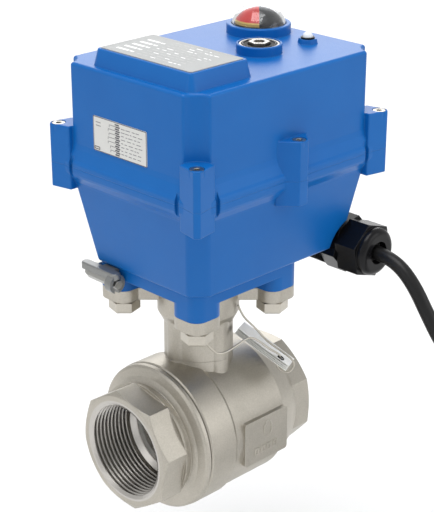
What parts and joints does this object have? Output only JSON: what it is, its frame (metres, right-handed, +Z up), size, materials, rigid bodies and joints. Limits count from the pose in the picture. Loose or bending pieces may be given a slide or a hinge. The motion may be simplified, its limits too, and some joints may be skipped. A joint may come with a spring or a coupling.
{
  "type": "motorized ball valve",
  "caption": "Quarter-turn electric actuator with position dome, hand override and cable gland, bolted on a threaded stainless ball valve.",
  "frame": {"origin": "centre of the inlet port's end face, on the pipe axis, 1 mm outside the first thread crest", "axes": "+X along the pipe from the inlet to the outlet, +Z up along the stem towards the actuator, +Y level"},
  "size_m": [0.1618, 0.178, 0.296],
  "materials": {
    "cast_stainless": "blasted cast stainless steel",
    "machined_steel": "machined stainless steel",
    "bolt_steel": "bright stainless fasteners",
    "seat_ptfe": "white seat and packing polymer",
    "seal_rubber": "black sealing rubber",
    "blue_shell": "satin blue moulded shell",
    "gear_steel": "oiled steel",
    "gear_brass": "brass",
    "black_plastic": "black moulded plastic",
    "board_green": "green circuit board",
    "terminal_grey": "grey moulded plastic",
    "motor_can": "zinc plated steel can",
    "indicator_red": "red moulded plastic",
    "indicator_black": "black moulded plastic",
    "clear_dome": "clear moulded dome",
    "lamp_white": "milky lamp lens",
    "label_silver": "silver grey printed label",
    "label_light": "pale printed label",
    "key_steel": "plated steel",
    "holder_grey": "grey moulded plastic",
    "cable_black": "black cable sheath",
    "core_insulation": "core insulation",
    "tag_paper": "coated paper"
  },
  "bodies": {
    "assembly": {"valve_body": "cast_stainless", "valve_neck": "cast_stainless", "end_cap": "cast_stainless", "body_gasket": "seat_ptfe", "seat_inlet": "seat_ptfe", "seat_outlet": "seat_ptfe", "thrust_washer": "seat_ptfe", "stem_packing": "seat_ptfe", "mounting_bolts": "bolt_steel", "lock_washers": "bolt_steel", "base_housing": "blue_shell", "top_cover": "blue_shell", "cover_gasket": "seal_rubber", "cover_screws": "bolt_steel", "sleeve_bush": "gear_brass", "gear_plate": "gear_steel", "plate_posts": "gear_steel", "idler_pin": "gear_steel", "gear_motor": "motor_can", "limit_switches": "black_plastic", "circuit_board": "board_green", "run_capacitor": "motor_can", "terminal_block": "terminal_grey", "relay_post": "gear_steel", "dome_lens": "clear_dome", "dome_seal": "seal_rubber", "override_seal": "seal_rubber", "lamp_lens": "lamp_white", "top_label": "label_silver", "side_label": "label_light", "key_holder": "holder_grey", "gland_body": "black_plastic", "gland_nut": "black_plastic", "gland_seal": "seal_rubber", "gland_locknut": "black_plastic", "power_cable": "cable_black", "cable_hank": "cable_black", "cable_tie": "black_plastic", "cable_cores": "core_insulation", "instruction_tag": "tag_paper", "tag_wire": "bolt_steel"},
    "output_drive": {"ball": "machined_steel", "stem": "machined_steel", "disc_springs": "gear_steel", "stem_nut": "machined_steel", "packing_gland": "machined_steel", "drive_sleeve": "gear_steel", "output_gear": "gear_steel", "cam_open": "seat_ptfe", "cam_closed": "black_plastic", "camshaft_gear": "seat_ptfe"},
    "idler": {"idler_gear": "gear_brass"},
    "motor_rotor": {"motor_pinion": "gear_brass"},
    "override": {"override_shaft": "machined_steel", "override_gear": "gear_steel"},
    "relay": {"relay_gear": "seat_ptfe"},
    "indicator": {"indicator_gear": "indicator_black", "indicator_red": "indicator_red", "indicator_black": "indicator_black"},
    "key": {"hex_key": "key_steel"}
  },
  "joints": [
    {"name": "valve_turn", "type": "hinge", "parent": "assembly", "child": "output_drive", "pos_m": [0.04925, 0, 0.1], "axis": [0, 0, 1], "range_deg": [-90, 0]},
    {"name": "idler_spin", "type": "hinge", "parent": "assembly", "child": "idler", "pos_m": [0.07645, 0.01266, 0.1], "axis": [0, 0, 1], "range_deg": [0, 360]},
    {"name": "motor_spin", "type": "hinge", "parent": "assembly", "child": "motor_rotor", "pos_m": [0.09723, 0.00066, 0.1], "axis": [0, 0, 1], "range_deg": [-1080, 0]},
    {"name": "override_spin", "type": "hinge", "parent": "assembly", "child": "override", "pos_m": [0.07774, -0.01089, 0.1], "axis": [0, 0, 1], "range_deg": [0, 332.31]},
    {"name": "relay_spin", "type": "hinge", "parent": "assembly", "child": "relay", "pos_m": [0.07464, 0.01602, 0.1], "axis": [0, 0, 1], "range_deg": [0, 60]},
    {"name": "indicator_spin", "type": "hinge", "parent": "assembly", "child": "indicator", "pos_m": [0.10465, 0.0152, 0.1], "axis": [0, 0, 1], "range_deg": [-90, 0]},
    {"name": "key_slide", "type": "slide", "parent": "assembly", "child": "key", "axis": [0, 1, 0], "range_m": [0, 0.03]}
  ],
  "couplings": [
    {"joint": "idler_spin", "follows": "valve_turn", "ratio": -4},
    {"joint": "motor_spin", "follows": "valve_turn", "ratio": 12},
    {"joint": "override_spin", "follows": "valve_turn", "ratio": -3.6923},
    {"joint": "relay_spin", "follows": "valve_turn", "ratio": -0.66667},
    {"joint": "indicator_spin", "follows": "valve_turn", "ratio": 1}
  ]
}
